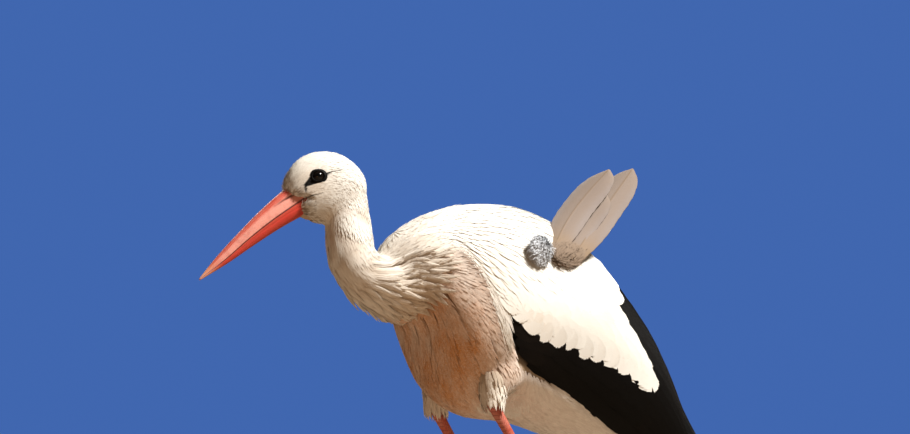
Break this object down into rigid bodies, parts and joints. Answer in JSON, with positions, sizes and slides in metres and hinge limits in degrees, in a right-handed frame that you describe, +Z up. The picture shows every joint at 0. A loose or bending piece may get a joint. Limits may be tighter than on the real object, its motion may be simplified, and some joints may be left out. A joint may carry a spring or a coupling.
{
  "type": "white stork",
  "caption": "Life-size still model of a standing white stork with a bent neck, lowered bill, folded wings and a few back feathers raised by the wind.",
  "frame": {"origin": "on the floor under the middle of the bounding box", "axes": "+Z up; the bird faces -X, its left side faces -Y and its folded wing tips and tail point to +X and down"},
  "size_m": [0.7806, 0.2054, 0.6283],
  "materials": {
    "plumage_white": "soft white feathers with a warm cream cast",
    "plumage_cream": "long narrow neck plumes, stained ochre",
    "plumage_black": "black flight feathers with a faint brown gloss",
    "feather_underside": "thin feathers seen from below, with pale shafts",
    "bill_horn": "coral red horn, satin, with fine streaks along it",
    "leg_skin": "red scaly skin, dusted pale",
    "claw_horn": "dark blunt horn",
    "eye": "wet and black"
  },
  "bodies": {
    "root": {"trunk": "plumage_white", "tail": "plumage_white", "neck_lower": "plumage_cream", "neck_upper": "plumage_white", "head": "plumage_white", "eye_left": "eye", "eye_right": "eye", "bill_upper": "bill_horn", "bill_lower": "bill_horn", "wing_left_shield": "plumage_white", "wing_left_flight": "plumage_black", "wing_left_tip": "plumage_black", "wing_right_shield": "plumage_white", "wing_right_flight": "plumage_black", "wing_right_tip": "plumage_black", "back_down": "plumage_white", "back_feather_1": "feather_underside", "back_feather_2": "feather_underside", "back_feather_3": "feather_underside", "thigh_left": "plumage_white", "thigh_right": "plumage_white", "shin_left": "leg_skin", "shin_right": "leg_skin", "shank_left": "leg_skin", "shank_right": "leg_skin", "toe_left_inner": "leg_skin", "toe_left_middle": "leg_skin", "toe_left_outer": "leg_skin", "toe_left_hind": "leg_skin", "toe_right_inner": "leg_skin", "toe_right_middle": "leg_skin", "toe_right_outer": "leg_skin", "toe_right_hind": "leg_skin", "claw_left_inner": "claw_horn", "claw_left_middle": "claw_horn", "claw_left_outer": "claw_horn", "claw_left_hind": "claw_horn", "claw_right_inner": "claw_horn", "claw_right_middle": "claw_horn", "claw_right_outer": "claw_horn", "claw_right_hind": "claw_horn"}
  },
  "joints": []
}
